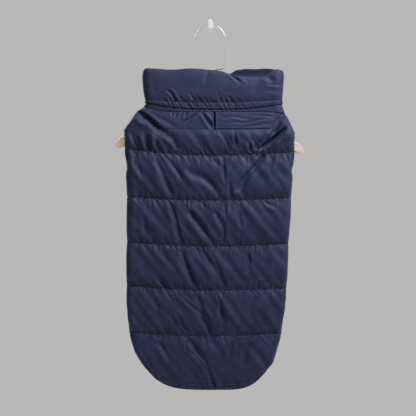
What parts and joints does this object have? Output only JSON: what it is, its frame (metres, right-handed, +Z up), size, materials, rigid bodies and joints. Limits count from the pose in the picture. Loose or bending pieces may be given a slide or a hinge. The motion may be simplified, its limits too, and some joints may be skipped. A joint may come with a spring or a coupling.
{
  "type": "quilted dog winter coat on a hanger with its wall hook",
  "caption": "Padded dog coat with a tall collar, elastic neck, leash slot and leg openings, hung by a small wooden hanger from a white wall hook",
  "frame": {"origin": "middle of the wall hook's back face, in the plane of the wall", "axes": "+Z up along the coat towards the collar, -Y out of the wall, +X to the right as the coat is looked at"},
  "size_m": [0.286, 0.0393, 0.561],
  "materials": {
    "shell": "navy plain-weave nylon, soft sheen, quilted and padded",
    "wood": "pale sanded beech",
    "wire": "bright plated steel wire",
    "hook": "white gloss"
  },
  "bodies": {
    "root": {"back_panel": "shell", "belly_panel": "shell", "collar": "shell", "elastic_casing": "shell", "neck_band": "shell", "yoke_left": "shell", "yoke_right": "shell", "slot_welt_left": "shell", "slot_welt_right": "shell", "hanger_bar": "wood", "hanger_hook": "wire", "wall_hook": "hook"}
  },
  "joints": []
}
